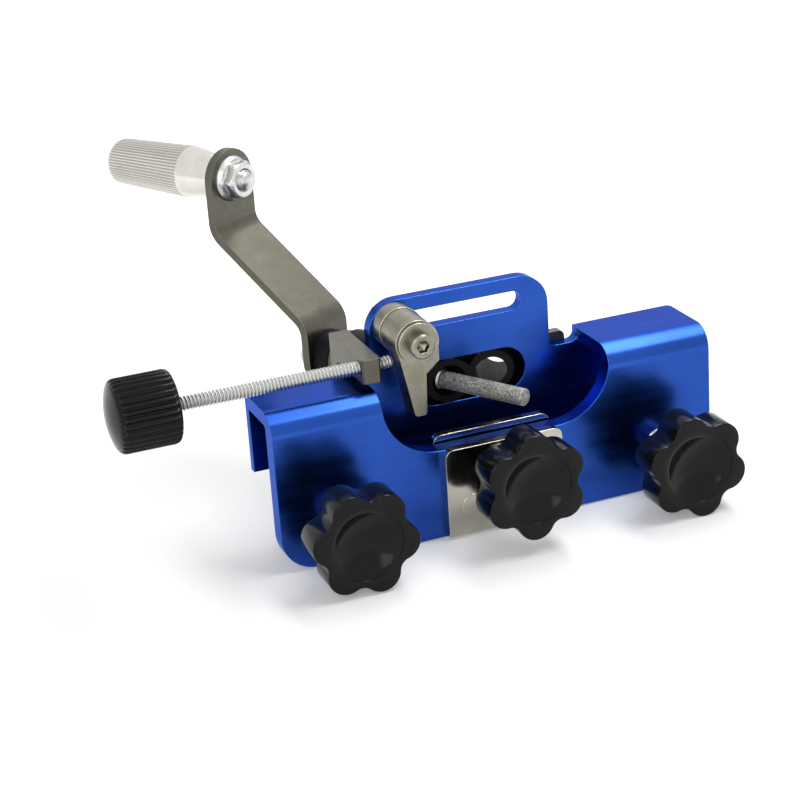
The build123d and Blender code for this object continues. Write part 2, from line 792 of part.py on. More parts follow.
# Bolt that carries the pawl
slot_nut_back = back_face + slide_gap + slot_nut_thickness
with BuildPart() as pawl_bolt:
    with BuildSketch(facing_front(slot_nut_back + slot_bolt_end)):
        with Locations((pawl_x, tab_slot_z)):
            Circle(pawl_bolt_radius)
    extrude(amount=slot_nut_back + slot_bolt_end - washer_front)
    with BuildSketch(facing_front(washer_front)):
        with Locations((pawl_x, tab_slot_z)):
            Circle(pawl_head_radius)
    extrude(amount=pawl_head_height)
    with BuildSketch(facing_front(washer_front - pawl_head_height + pawl_socket_depth)):
        with Locations((pawl_x, tab_slot_z)):
            RegularPolygon(pawl_socket / 2, 6, major_radius=False)
    extrude(amount=pawl_socket_depth, mode=Mode.SUBTRACT)
keep(pawl_bolt, "pawl_bolt")


# Square nut behind the tab
with BuildPart() as slot_nut:
    with BuildSketch(facing_front(slot_nut_back)):
        with Locations((pawl_x, tab_slot_z)):
            Rectangle(slot_nut_side, slot_nut_side)
            Circle(pawl_bolt_radius, mode=Mode.SUBTRACT)
    extrude(amount=slot_nut_thickness)
keep(slot_nut, "slot_nut")


# Adjusting rod, stepped down to a pin inside its tip
with BuildPart() as adjust_rod:
    with BuildSketch(Plane.YZ.offset(rod_left)):
        with Locations((rod_y, rod_height)):
            Circle(rod_radius)
    extrude(amount=rod_shoulder - contact_gap - rod_left)
    with BuildSketch(Plane.YZ.offset(rod_left)):
        with Locations((rod_y, rod_height)):
            Circle(rod_pin_radius)
    extrude(amount=rod_shoulder + rod_pin_length - rod_left)
keep(adjust_rod, "adjust_rod")


# Tip that stays still against the pawl while the rod turns
with BuildPart() as rod_tip:
    with BuildSketch(Plane.YZ.offset(rod_shoulder)):
        with Locations((rod_y, rod_height)):
            Circle(rod_tip_radius)
    extrude(amount=rod_tip_length)
    chamfer(rod_tip.edges().filter_by(GeomType.CIRCLE).sort_by(Axis.X)[-1], rod_tip_nose / 2)
    with BuildSketch(Plane.YZ.offset(rod_shoulder)):
        with Locations((rod_y, rod_height)):
            Circle(rod_pin_radius + running_clearance)
    extrude(amount=rod_pin_length + contact_gap, mode=Mode.SUBTRACT)
keep(rod_tip, "rod_tip")


# Ribbed knob with a domed end
dome_ball = (adjust_knob_radius**2 + adjust_knob_dome**2) / (2 * adjust_knob_dome)
with BuildPart() as adjust_knob:
    with BuildSketch(Plane.YZ.offset(knob_end_x - adjust_knob_dome)):
        with Locations((rod_y, rod_height)):
            Circle(adjust_knob_radius)
            with PolarLocations(adjust_knob_radius, adjust_knob_ribs):
                Circle(adjust_knob_groove, mode=Mode.SUBTRACT)
    extrude(amount=adjust_knob_length + adjust_knob_dome)
    with Locations((knob_end_x - adjust_knob_dome + dome_ball, rod_y, rod_height)):
        Sphere(dome_ball, mode=Mode.INTERSECT)
    with BuildSketch(Plane.YZ.offset(rod_left)):
        with Locations((rod_y, rod_height)):
            Circle(rod_radius)
    extrude(amount=knob_back_x - rod_left, mode=Mode.SUBTRACT)
keep(adjust_knob, "adjust_knob")


def star_knob(name, x, z, phase):
    """Six-lobed knob with a dished face and a hub, its lobes turned by phase degrees."""
    dish_ball = (dish_radius**2 + dish_depth**2) / (2 * dish_depth)
    with BuildPart() as knob:
        with BuildSketch(facing_front(knob_back)) as star:
            with Locations((x, z)):
                Circle(knob_radius - knob_lobe_radius)
                with PolarLocations(knob_radius - knob_lobe_radius, 6, start_angle=phase):
                    Circle(knob_lobe_radius)
            fillet(star.vertices(), knob_valley_fillet)
        extrude(amount=knob_thickness)
        fillet(knob.faces().sort_by(Axis.Y)[0].edges(), knob_edge)
        fillet(knob.faces().sort_by(Axis.Y)[-1].edges(), knob_edge)
        with BuildSketch(facing_front(knob_back + knob_hub_length)):
            with Locations((x, z)):
                Circle(knob_hub_radius)
        extrude(amount=knob_hub_length)
        with Locations((x, knob_face + dish_depth - dish_ball, z)):
            Sphere(dish_ball, mode=Mode.SUBTRACT)
        with BuildSketch(facing_front(knob_back + knob_hub_length)):
            with Locations((x, z)):
                Circle(stud_radius)
        extrude(amount=knob_back + knob_hub_length - stud_start, mode=Mode.SUBTRACT)
    keep(knob, name)


def threaded_stud(name, x, z, foot_back, foot_thickness):
    """Stud from the knob's hub through the wall, with a thin nose in its foot."""
    nose_end = foot_back + foot_thickness - pad_nose_floor - contact_gap
    with BuildPart() as stud:
        with BuildSketch(facing_front(foot_back - contact_gap)):
            with Locations((x, z)):
                Circle(stud_radius)
        extrude(amount=foot_back - contact_gap - stud_start)
        with BuildSketch(facing_front(nose_end)):
            with Locations((x, z)):
                Circle(stud_nose_radius)
        extrude(amount=nose_end - stud_start)
    keep(stud, name)


def round_pad(name, x, z):
    """Round foot that presses on the guide bar, bored blind for the stud's nose."""
    with BuildPart() as pad:
        with BuildSketch(facing_front(front_inner + pad_gap + pad_thickness)):
            with Locations((x, z)):
                Circle(pad_radius)
        extrude(amount=pad_thickness)
        with BuildSketch(facing_front(front_inner + pad_gap + pad_thickness - pad_nose_floor)):
            with Locations((x, z)):
                Circle(stud_nose_radius + running_clearance)
        extrude(amount=pad_thickness - pad_nose_floor, mode=Mode.SUBTRACT)
    keep(pad, name)


star_knob("left_knob", -clamp_x, clamp_height, left_phase)
star_knob("middle_knob", 0, chain_clamp_height, middle_phase)
star_knob("right_knob", clamp_x, clamp_height, right_phase)
threaded_stud("left_stud", -clamp_x, clamp_height, front_inner + pad_gap, pad_thickness)
threaded_stud("middle_stud", 0, chain_clamp_height, front_inner + clamp_plate_gap, clamp_plate_thickness)
threaded_stud("right_stud", clamp_x, clamp_height, front_inner + pad_gap, pad_thickness)
round_pad("left_pad", -clamp_x, clamp_height)
round_pad("right_pad", clamp_x, clamp_height)


# Inner plate that the middle stud presses against the chain
clamp_plate_front = front_inner + clamp_plate_gap + clamp_plate_thickness
with BuildPart() as chain_clamp_plate:
    with BuildSketch(facing_front(clamp_plate_front)) as outline:
        with Locations((0, (clamp_plate_bottom + clamp_plate_top) / 2)):
            Rectangle(clamp_plate_width, clamp_plate_top - clamp_plate_bottom)
        fillet(outline.vertices().group_by(Axis.Y)[-1], clamp_plate_corner)
    extrude(amount=clamp_plate_thickness)
    with BuildSketch(facing_front(clamp_plate_front - pad_nose_floor)):
        with Locations((0, chain_clamp_height)):
            Circle(stud_nose_radius + running_clearance)
    extrude(amount=clamp_plate_thickness - pad_nose_floor, mode=Mode.SUBTRACT)
keep(chain_clamp_plate, "chain_clamp_plate")
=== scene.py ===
import json
import math
from collections import namedtuple

import bmesh
import bpy
from mathutils import Matrix, Vector, noise


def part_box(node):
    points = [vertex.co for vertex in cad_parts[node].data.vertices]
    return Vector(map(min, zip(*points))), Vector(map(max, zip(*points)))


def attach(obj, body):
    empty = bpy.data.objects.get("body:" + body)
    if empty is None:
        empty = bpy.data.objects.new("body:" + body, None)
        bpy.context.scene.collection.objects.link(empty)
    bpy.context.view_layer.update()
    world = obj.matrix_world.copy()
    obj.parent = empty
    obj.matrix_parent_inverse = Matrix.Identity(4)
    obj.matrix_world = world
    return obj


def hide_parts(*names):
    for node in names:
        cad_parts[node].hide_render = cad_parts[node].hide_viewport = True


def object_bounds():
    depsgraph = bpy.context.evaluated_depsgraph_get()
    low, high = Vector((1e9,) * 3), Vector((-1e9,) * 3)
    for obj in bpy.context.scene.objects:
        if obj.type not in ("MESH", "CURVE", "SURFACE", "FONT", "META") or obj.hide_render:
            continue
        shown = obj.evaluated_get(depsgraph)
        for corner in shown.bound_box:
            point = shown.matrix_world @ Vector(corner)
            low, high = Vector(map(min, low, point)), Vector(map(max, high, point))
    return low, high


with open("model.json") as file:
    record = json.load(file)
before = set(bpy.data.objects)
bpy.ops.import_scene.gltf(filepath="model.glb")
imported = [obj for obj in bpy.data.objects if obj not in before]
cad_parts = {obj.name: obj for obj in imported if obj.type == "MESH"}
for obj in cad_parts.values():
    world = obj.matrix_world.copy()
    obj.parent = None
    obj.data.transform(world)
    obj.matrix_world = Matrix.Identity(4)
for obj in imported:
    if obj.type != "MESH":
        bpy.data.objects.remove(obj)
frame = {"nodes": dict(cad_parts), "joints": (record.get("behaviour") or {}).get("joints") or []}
cad_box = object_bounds()

MM = 0.001
NODES = frame["nodes"]
JOINTS = {joint["name"]: joint for joint in frame["joints"]}
Y = Vector((0, 1, 0))
Z = Vector((0, 0, 1))

# The camera that was fitted to the photograph, degrees and millimetres
CAMERA_PLACE = (-170.9, -409.95, 204.6)
CAMERA_AZIMUTH = 20.31
CAMERA_ELEVATION = 21.76
CAMERA_ROLL = 4.05
CAMERA_LENS = 96.91
SENSOR_WIDTH = 36.0


# Measures taken from the frame

def span(node, origin, along, wider=0.0):
    """Where a CAD node, or what of it is wider than a radius, starts and ends along a line."""
    places = [(v.co - origin).dot(along) for v in NODES[node].data.vertices
              if (v.co - origin).cross(along).length >= wider]
    return min(places), max(places)


def joint_line(name):
    """A joint's point and its axis."""
    joint = JOINTS[name]
    return Vector(joint["pos_m"]), Vector(joint["axis"]).normalized()


def middle(node):
    """The middle of a CAD node's box."""
    low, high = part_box(node)
    return (low + high) / 2


def facing(origin, along):
    """A local frame whose Z lies along a line and whose Y points up."""
    side = Z.cross(along).normalized()
    up = along.cross(side)
    return Matrix.Translation(origin) @ Matrix((side, up, along)).transposed().to_4x4()


# Outlines: each gives a radius for an angle

def circle(radius):
    return lambda angle: radius


def hexagon(flats, limit=math.inf):
    """Hexagon of that width over its flats, its corners cut to a round of radius limit."""
    step = math.pi / 3

    def outline(angle):
        off = angle % step - step / 2
        return min(flats / 2 / math.cos(off), limit)
    return outline


def star(tip, lobe, valley, turn, inset):
    """Six round lobes joined by hollow arcs; inset draws the outline inwards."""
    centre = tip - lobe
    lobe_radius = lobe - inset
    valley_radius = valley + inset
    between = math.pi / 6
    half_gap = centre * math.sin(between)
    valley_centre = centre * math.cos(between) + math.sqrt((lobe + valley) ** 2 - half_gap ** 2)
    share = lobe / (lobe + valley)
    touch_x = centre + share * (valley_centre * math.cos(between) - centre)
    touch_y = share * valley_centre * math.sin(between)
    touch = math.atan2(touch_y, touch_x)

    def outline(angle):
        off = abs((angle - turn + between) % (2 * between) - between)
        if off < touch:
            return centre * math.cos(off) + math.sqrt(lobe_radius ** 2 - (centre * math.sin(off)) ** 2)
        left = between - off
        reach = math.sqrt(valley_radius ** 2 - (valley_centre * math.sin(left)) ** 2)
        return valley_centre * math.cos(left) - reach
    return outline


def fluted(radius, depth, count, sharpness):
    """Round outline with equal flutes cut into it."""
    def outline(angle):
        wave = 0.5 + 0.5 * math.cos(count * angle)
        return radius - depth * (1 - wave ** sharpness)
    return outline


def gritty(radius, depth, height, grains=2600):
    """Round outline roughened by grains, so many to the metre."""
    def outline(angle):
        where = Vector((radius * math.cos(angle), radius * math.sin(angle), height)) * grains
        return radius - depth * (0.5 + 0.5 * noise.noise(where))
    return outline


def mixed(first, second, share):
    """An outline that lies a share of the way from one to another."""
    return lambda angle: (1 - share) * first(angle) + share * second(angle)


# Rings: each is a height along a piece's axis and an outline

Thread = namedtuple("Thread", "radius depth pitch")
THREAD_RINGS = 8
THREAD_FADE = 0.6


def lathe(start, *steps):
    """Round rings at steps in millimetres: a height from the start, and a radius."""
    return [(start + height * MM, circle(radius * MM)) for height, radius in steps]


def quarter(*shares):
    """How far an edge still has to fall and how far it has spread, over its quarter turn."""
    for share in shares:
        swing = share * math.pi / 2
        yield 1 - math.sin(swing), 1 - math.cos(swing)


def thread_rings(start, end, thread):
    """Rings of a right-hand thread between two heights, its ends tapering in."""
    rings = []
    count = max(2, int((end - start) / thread.pitch * THREAD_RINGS))
    for k in range(count + 1):
        height = start + (end - start) * k / count
        edge = min(1.0, min(height - start, end - height) / (THREAD_FADE * thread.pitch))
        crest = thread.radius - thread.depth * (1 - edge)

        def outline(angle, height=height, crest=crest, edge=edge):
            phase = (height / thread.pitch - angle / (2 * math.pi)) % 1.0
            tooth = min(1.0, max(0.0, 2.4 * abs(phase - 0.5) - 0.1))
            return crest - thread.depth * tooth * edge
        rings.append((height, outline))
    return rings


def socket_rings(face, depth, flats, head_radius, edge, outward=1):
    """Rings from a socket's floor, up its hexagon, over the face to a bevelled rim."""
    wide = flats / math.sqrt(3) + edge / 2
    return [
        (face - outward * (depth + flats / 4), circle(flats / 8)),
        (face - outward * depth, hexagon(flats)),
        (face - outward * edge / 2, hexagon(flats)),
        (face, circle(wide)),
        (face, circle(head_radius - edge)),
        (face - outward * edge, circle(head_radius)),
    ]


def nut_rings(start, end, flats, bore, bevel):
    """Rings of a hexagon nut, corners bevelled at both faces, threaded hole countersunk."""
    rim = 0.96 * flats / 2
    cut = flats / math.sqrt(3) - rim
    rings = [(start + bevel, circle(bore)), (start, circle(bore + bevel))]
    for share in (0.0, 0.5, 1.0):
        rings.append((start + share * cut / 2, hexagon(flats, rim + share * cut)))
    for share in (1.0, 0.5, 0.0):
        rings.append((end - share * cut / 2, hexagon(flats, rim + share * cut)))
    rings.append((end, circle(bore + bevel)))
    rings.append((end - bevel, circle(bore)))
    return rings


# Mesh builders: all lengths in metres

def finished(node, body, verts, faces, material, sharp, grooves=()):
    """A smooth-shaded piece that rides on a body and stands for a CAD node.

    Grooves gives each point's depth in a groove, from 0 to 1, which the materials darken, partly as dirt
    and partly as painted shade.
    """
    name = node + "_detail"
    mesh = bpy.data.meshes.new(name)
    mesh.from_pydata(verts, [], faces)
    if grooves:
        mesh.attributes.new("groove", "FLOAT", "POINT").data.foreach_set("value", grooves)
    bm = bmesh.new()
    bm.from_mesh(mesh)
    bmesh.ops.recalc_face_normals(bm, faces=bm.faces)
    bm.to_mesh(mesh)
    bm.free()
    mesh.shade_smooth()
    mesh.set_sharp_from_angle(angle=math.radians(sharp))
    mesh.materials.append(material)
    piece = bpy.data.objects.new(name, mesh)
    bpy.context.scene.collection.objects.link(piece)
    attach(piece, body)
    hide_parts(node)


def turned_mesh(place, rings, sides, bored=False):
    """Points and faces of a closed body made of rings.

    A bored one has no ends: its last ring, inside, meets its first.
    """
    verts = []
    faces = []
    for height, outline in rings:
        for i in range(sides):
            angle = 2 * math.pi * i / sides
            radius = outline(angle)
            verts.append(place @ Vector((radius * math.cos(angle), radius * math.sin(angle), height)))
    for k in range(len(rings) - 1):
        for i in range(sides):
            j = (i + 1) % sides
            faces.append((k * sides + i, k * sides + j, (k + 1) * sides + j, (k + 1) * sides + i))
    if bored:
        last = (len(rings) - 1) * sides
        for i in range(sides):
            j = (i + 1) % sides
            faces.append((last + i, last + j, j, i))
        return verts, faces
    for k, end in ((0, rings[0][0]), (len(rings) - 1, rings[-1][0])):
        hub = len(verts)
        verts.append(place @ Vector((0, 0, end)))
        for i in range(sides):
            faces.append((k * sides + i, k * sides + (i + 1) % sides, hub))
    return verts, faces


def turned(node, place, rings, material, body, sides, sharp, bored=False, crest=0.0, depth=0.0):
    """A turned piece; crest, a radius or a function of the height, and depth are its grooves'."""
    verts, faces = turned_mesh(place, rings, sides, bored)
    grooves = []
    if crest:
        back = place.inverted()
        for point in verts:
            local = back @ point
            top = crest(local.z) if callable(crest) else crest
            sunk = (top - math.hypot(local.x, local.y)) / depth
            grooves.append(max(0.0, sunk) if sunk < 1.02 else 0.0)
    finished(node, body, verts, faces, material, sharp, grooves)


def threaded(node, place, rings, thread, body, sides, sharp):
    """A turned zinc piece whose thread is darker in its grooves, partly from dirt and partly from
    painted shade.
    """
    turned(node, place, rings, ZINC, body, sides, sharp, crest=thread.radius, depth=thread.depth)


# Material nodes

EVEN = (1, 1, 1)
WHITE = (1, 1, 1, 1)
MIX_FACTOR = 0
MIX_FIRST = 6
MIX_SECOND = 7
MIX_RESULT = 2


def new_node(tree, kind, **values):
    """A shader node, with plain values for its sockets."""
    node = tree.nodes.new("ShaderNode" + kind)
    for name, value in values.items():
        node.inputs[name.replace("_", " ")].default_value = value
    return node


def shader(name, color, metallic, roughness):
    """A new material with a Principled shader whose plain values are set on its own sockets."""
    material = bpy.data.materials.new(name)
    material.use_nodes = True
    tree = material.node_tree
    tree.nodes.clear()
    output = new_node(tree, "OutputMaterial")
    principled = new_node(tree, "BsdfPrincipled", Base_Color=(*color, 1), Metallic=metallic,
                          Roughness=roughness)
    tree.links.new(principled.outputs["BSDF"], output.inputs["Surface"])
    return material, tree, principled


def field(tree, kind, scale, stretch=EVEN, detail=3.0, roughness=0.55):
    """A noise or cell pattern over the piece's own coordinates, stretched along its axes."""
    where = new_node(tree, "TexCoord")
    mapping = new_node(tree, "Mapping", Scale=stretch)
    tree.links.new(where.outputs["Object"], mapping.inputs["Vector"])
    if kind == "noise":
        pattern = new_node(tree, "TexNoise", Scale=scale, Detail=detail, Roughness=roughness)
        result = pattern.outputs["Fac"]
    else:
        pattern = new_node(tree, "TexVoronoi", Scale=scale)
        result = pattern.outputs["Color"]
    tree.links.new(mapping.outputs["Vector"], pattern.inputs["Vector"])
    return result


def ranged(tree, source, low, high, from_low=0.3, from_high=0.7):
    """Maps a pattern to a number between two limits."""
    node = new_node(tree, "MapRange", From_Min=from_low, From_Max=from_high, To_Min=low, To_Max=high)
    tree.links.new(source, node.inputs["Value"])
    return node.outputs["Result"]


def ramp(tree, source, stops):
    """Maps a pattern to colours."""
    node = new_node(tree, "ValToRGB")
    elements = node.color_ramp.elements
    for index, (position, color) in ((0, stops[0]), (1, stops[-1])):
        elements[index].position = position
        elements[index].color = (*color, 1)
    for position, color in stops[1:-1]:
        elements.new(position).color = (*color, 1)
    tree.links.new(source, node.inputs["Fac"])
    return node.outputs["Color"]


def bump(tree, principled, source, strength, distance):
    """Raises the surface by a pattern, on top of the normal that the shader has."""
    node = new_node(tree, "Bump", Strength=strength, Distance=distance)
    previous = principled.inputs["Normal"].links
    if previous:
        tree.links.new(previous[0].from_socket, node.inputs["Normal"])
    tree.links.new(source, node.inputs["Height"])
    tree.links.new(node.outputs["Normal"], principled.inputs["Normal"])


def round_edges(tree, principled, radius):
    """Shades sharp edges as if they were slightly rounded; gives a mask that is 1 along them."""
    rounded = new_node(tree, "Bevel", Radius=radius)
    rounded.samples = 6
    tree.links.new(rounded.outputs["Normal"], principled.inputs["Normal"])
    plain = new_node(tree, "NewGeometry")
    likeness = new_node(tree, "VectorMath")
    likeness.operation = "DOT_PRODUCT"
    tree.links.new(rounded.outputs["Normal"], likeness.inputs[0])
    tree.links.new(plain.outputs["Normal"], likeness.inputs[1])
    return ranged(tree, likeness.outputs["Value"], 1.0, 0.0, 0.75, 0.99)


def mixed_in(tree, color, other, mask):
    """Mixes a colour towards another where a mask says so."""
    mix = new_node(tree, "Mix")
    mix.data_type = "RGBA"
    mix.inputs[MIX_SECOND].default_value = (*other, 1)
    tree.links.new(mask, mix.inputs[MIX_FACTOR])
    tree.links.new(color, mix.inputs[MIX_FIRST])
    return mix.outputs[MIX_RESULT]


def groove_mask(tree):
    """The depth in a groove or thread that a turned piece's points carry, which masks the painted shade
    and dirt in the grooves.
    """
    groove = new_node(tree, "Attribute")
    groove.attribute_name = "groove"
    return groove.outputs["Fac"]


def combined(tree, operation, first, second):
    """Two numbers put together by a Math node."""
    node = new_node(tree, "Math")
    node.operation = operation
    tree.links.new(first, node.inputs[0])
    tree.links.new(second, node.inputs[1])
    return node.outputs["Value"]


def light_path_share(tree):
    """1 for rays from the camera, mirrors and glass, 0 for the rays that light the object."""
    path = new_node(tree, "LightPath")
    total = path.outputs["Is Camera Ray"]
    for name in ("Is Glossy Ray", "Is Transmission Ray"):
        total = combined(tree, "MAXIMUM", total, path.outputs[name])
    return total


# Materials

def anodised_blue():
    """Dyed, anodised aluminium: even satin colour over faint extrusion lines, with edges a lighter blue,
    partly rubbed and partly a painted highlight.
    """
    material, tree, principled = shader("anodised_blue", (0.011, 0.065, 0.365), 1.0, 0.26)
    principled.inputs["Specular Tint"].default_value = (0.12, 0.45, 1.0, 1)
    principled.inputs["Coat Weight"].default_value = 0.28
    principled.inputs["Coat Roughness"].default_value = 0.2
    edges = round_edges(tree, principled, 0.3 * MM)
    cloud = field(tree, "noise", 60, detail=2)
    dye = ramp(tree, cloud, ((0.3, (0.009, 0.056, 0.33)), (0.7, (0.013, 0.074, 0.4))))
    # Edges turn a lighter blue, partly rubbed and partly a painted highlight.
    tree.links.new(mixed_in(tree, dye, (0.035, 0.17, 0.68), edges), principled.inputs["Base Color"])
    satin = field(tree, "noise", 400, (0.1, 1, 1), detail=4)
    tree.links.new(ranged(tree, satin, 0.21, 0.3), principled.inputs["Roughness"])
    return material


def metal(name, dark, light, gloss, depth, lines=EVEN, edge=0.2 * MM, edge_rub_and_highlight=1.7, groove=0.35):
    """Bare metal: faint blotches, uneven gloss, brushed lines where it has them, edges lighter as partly
    rubbed metal and partly painted highlight, and grooves darker as partly dirt and partly painted
    shade.

    Gloss is the least and the most roughness, depth the height of the grain, edge_rub_and_highlight how
    much lighter the edges are, and groove how dark the grooves are.
    """
    material, tree, principled = shader(name, light, 1.0, gloss[1])
    edges = round_edges(tree, principled, edge)
    blotches = field(tree, "noise", 250, detail=4)
    tone = ramp(tree, blotches, ((0.3, dark), (0.68, light)))
    # Lighter edges: partly rubbed metal, partly a painted highlight along them.
    rubbed_and_highlighted = mixed_in(tree, tone, [min(0.85, edge_rub_and_highlight * part) for part in light], edges)
    # Darker grooves: partly dirt, partly painted shade in the hollows.
    sunk = mixed_in(tree, rubbed_and_highlighted, [groove * part for part in dark], groove_mask(tree))
    tree.links.new(sunk, principled.inputs["Base Color"])
    uneven = field(tree, "noise", 1200, lines, detail=4)
    tree.links.new(ranged(tree, uneven, *gloss), principled.inputs["Roughness"])
    bump(tree, principled, field(tree, "noise", 2500, lines), 0.25, depth)
    return material


def black_moulding(name, tone, specular, gloss, depth):
    """Black plastic or blackened metal with a fine, even grain, darker in grooves, partly dirt and
    partly painted shade.
    """
    material, tree, principled = shader(name, tone, 0.0, gloss[1])
    principled.inputs["Specular IOR Level"].default_value = specular
    round_edges(tree, principled, 0.2 * MM)
    tint = field(tree, "noise", 180)
    shade = ramp(tree, tint, ((0.35, tone), (0.75, [1.6 * part for part in tone])))
    # Darker grooves: partly dirt, partly painted shade in the hollows.
    sunk = mixed_in(tree, shade, [0.4 * part for part in tone], groove_mask(tree))
    tree.links.new(sunk, principled.inputs["Base Color"])
    uneven = field(tree, "noise", 1500)
    tree.links.new(ranged(tree, uneven, *gloss), principled.inputs["Roughness"])
    bump(tree, principled, field(tree, "noise", 3500), 0.3, depth)
    return material


def file_grit():
    """Abrasive grains in a grey metal bond: bright, beige and dark specks."""
    material, tree, principled = shader("file_grit", (0.3, 0.29, 0.26), 0.55, 0.5)
    grains = field(tree, "cells", 3300)
    tone = ramp(tree, grains, ((0.1, (0.13, 0.13, 0.12)), (0.35, (0.27, 0.27, 0.245)),
                               (0.65, (0.37, 0.36, 0.32)), (0.92, (0.62, 0.61, 0.56))))
    tree.links.new(tone, principled.inputs["Base Color"])
    tree.links.new(ranged(tree, grains, 0.35, 0.65, 0.0, 1.0), principled.inputs["Roughness"])
    bump(tree, principled, field(tree, "noise", 4200, detail=5, roughness=0.7), 0.9, 0.08 * MM)
    return material


BLUE = anodised_blue()
GREY_STEEL = metal("grey_steel", (0.104, 0.1, 0.08), (0.127, 0.122, 0.098), (0.32, 0.44), 0.012 * MM)
PAWL_STEEL = metal("pawl_steel", (0.215, 0.205, 0.16), (0.285, 0.275, 0.22), (0.26, 0.38), 0.012 * MM,
                   edge=0.3 * MM, edge_rub_and_highlight=2.9)
BRIGHT_STEEL = metal("bright_steel", (0.42, 0.4, 0.345), (0.5, 0.48, 0.42), (0.1, 0.2), 0.004 * MM,
                     lines=(1, 1, 0.05))
ZINC = metal("zinc", (0.52, 0.53, 0.51), (0.64, 0.65, 0.63), (0.26, 0.4), 0.002 * MM, groove=0.7)
KNURLED_STEEL = metal("knurled_steel", (0.66, 0.64, 0.59), (0.76, 0.74, 0.69), (0.12, 0.22),
                      0.003 * MM, groove=0.55)
BLACK_METAL = black_moulding("black_metal", (0.007, 0.007, 0.008), 0.1, (0.4, 0.55), 0.008 * MM)
BLACK_PLASTIC = black_moulding("black_plastic", (0.004, 0.0045, 0.004), 0.17, (0.12, 0.2), 0.004 * MM)
GRIT = file_grit()

CAD_MATERIALS = {
    "body_channel": BLUE, "front_plate": BRIGHT_STEEL, "plate_rivets": BRIGHT_STEEL,
    "rear_plate": GREY_STEEL, "left_bearing_block": BLACK_METAL, "right_bearing_block": BLACK_METAL,
    "guide_sleeve": BLACK_METAL, "slide_bush": GREY_STEEL, "rod_bracket": GREY_STEEL,
    "retaining_ring": ZINC, "crank_hub": BLACK_METAL, "hub_grub_screw": ZINC, "crank_arm": GREY_STEEL,
    "handle_washer": ZINC, "pawl_spacer": PAWL_STEEL, "pawl": PAWL_STEEL, "pawl_washer": PAWL_STEEL,
    "slot_nut": ZINC, "left_pad": BRIGHT_STEEL, "right_pad": BRIGHT_STEEL,
    "chain_clamp_plate": BRIGHT_STEEL,
}
for node, material in CAD_MATERIALS.items():
    for place in NODES[node].material_slots:
        place.material = material


# Star knobs and their threaded studs

STAR_TIP = 12 * MM
STAR_LOBE = 4.2 * MM
STAR_VALLEY = 2.6 * MM
STAR_THICKNESS = 8.5 * MM
STAR_TURNS = {"left": 8.4, "middle": -27.6, "right": 18.9}
FACE_INSET = 0.6 * MM
FACE_EDGE = 0.35 * MM
BACK_EDGE = 0.9 * MM
DISH_RADIUS = 8.1 * MM
DISH_DEPTH = 3.2 * MM
DISH_EDGE = 0.3 * MM
STUD_THREAD = Thread(3 * MM, 0.5 * MM, 1 * MM)


def star_knob(side):
    """Knob with a crisp flat face around a round dish, wavy straight sides and a hub."""
    point, line = joint_line(side + "_clamp_turn")
    node = side + "_knob"
    turn = math.radians(STAR_TURNS[side])
    face, hub_end = span(node, point, line)
    back = face + STAR_THICKNESS

    def outline(inset):
        return star(STAR_TIP, STAR_LOBE, STAR_VALLEY, turn, inset)

    rings = []
    for share in (0.08, 0.25, 0.42, 0.58, 0.72, 0.84, 0.93):
        rings.append((face + DISH_DEPTH * (1 - share ** 2), circle(share * DISH_RADIUS)))
    for fall, spread in quarter(0.0, 0.5, 1.0):
        rings.append((face + DISH_EDGE * fall, circle(DISH_RADIUS + DISH_EDGE * spread)))
    rings.append((face, mixed(circle(DISH_RADIUS + FACE_EDGE), outline(FACE_INSET), 0.4)))
    for fall, spread in quarter(0.0, 0.4, 0.8, 1.0):
        rings.append((face + FACE_EDGE * spread, outline(FACE_EDGE * fall)))
    for fall, spread in quarter(0.0, 0.35, 0.7, 1.0):
        rings.append((back - BACK_EDGE * fall, outline(BACK_EDGE * spread)))
    rings += lathe(back, (0, 6.9), (0.4, 6.5))
    rings += lathe(hub_end, (-0.4, 6.5), (0, 6.1))
    turned(node, facing(point, line), rings, BLACK_PLASTIC, side + "_screw", sides=240, sharp=38)


def stud(side):
    """Stud with a coarse bright thread and a plain nose."""
    point, line = joint_line(side + "_clamp_turn")
    node = side + "_stud"
    start, end = span(node, point, line)
    shoulder = span(node, point, line, 2.5 * MM)[1]
    rings = lathe(start, (0, 2.6))
    rings += thread_rings(start + 0.1 * MM, shoulder - 0.1 * MM, STUD_THREAD)
    rings += lathe(shoulder, (0, 2.3), (0, 2))
    rings += lathe(end, (-0.2, 2), (0, 1.8))
    threaded(node, facing(point, line), rings, STUD_THREAD, side + "_screw", sides=48, sharp=30)


for side in STAR_TURNS:
    star_knob(side)
    stud(side)


# Adjusting screw: threaded rod, its tip and ribbed knob

ROD_THREAD = Thread(1.6 * MM, 0.34 * MM, 0.8 * MM)
TIP_THREAD = Thread(1.45 * MM, 0.28 * MM, 0.8 * MM)
KNOB_RADIUS = 8 * MM
KNOB_DOME = 1.8 * MM
KNOB_RIM = 0.86 * KNOB_RADIUS
RIB_COUNT = 32
RIB_DEPTH = 0.62 * MM
RIB_SHARPNESS = 0.8

rod_point, rod_line = joint_line("adjust_turn")
rod_place = facing(rod_point, rod_line)
rod_start, rod_end = span("adjust_rod", rod_point, rod_line)
rod_shoulder = span("adjust_rod", rod_point, rod_line, 1.2 * MM)[1]
rod_rings = lathe(rod_start, (0, 1.2))
rod_rings += thread_rings(rod_start + 0.1 * MM, rod_shoulder, ROD_THREAD)
rod_rings += lathe(rod_shoulder, (0, 1.1), (0, 0.8))
rod_rings += lathe(rod_end, (0, 0.8))
threaded("adjust_rod", rod_place, rod_rings, ROD_THREAD, "adjust_screw", sides=40, sharp=30)

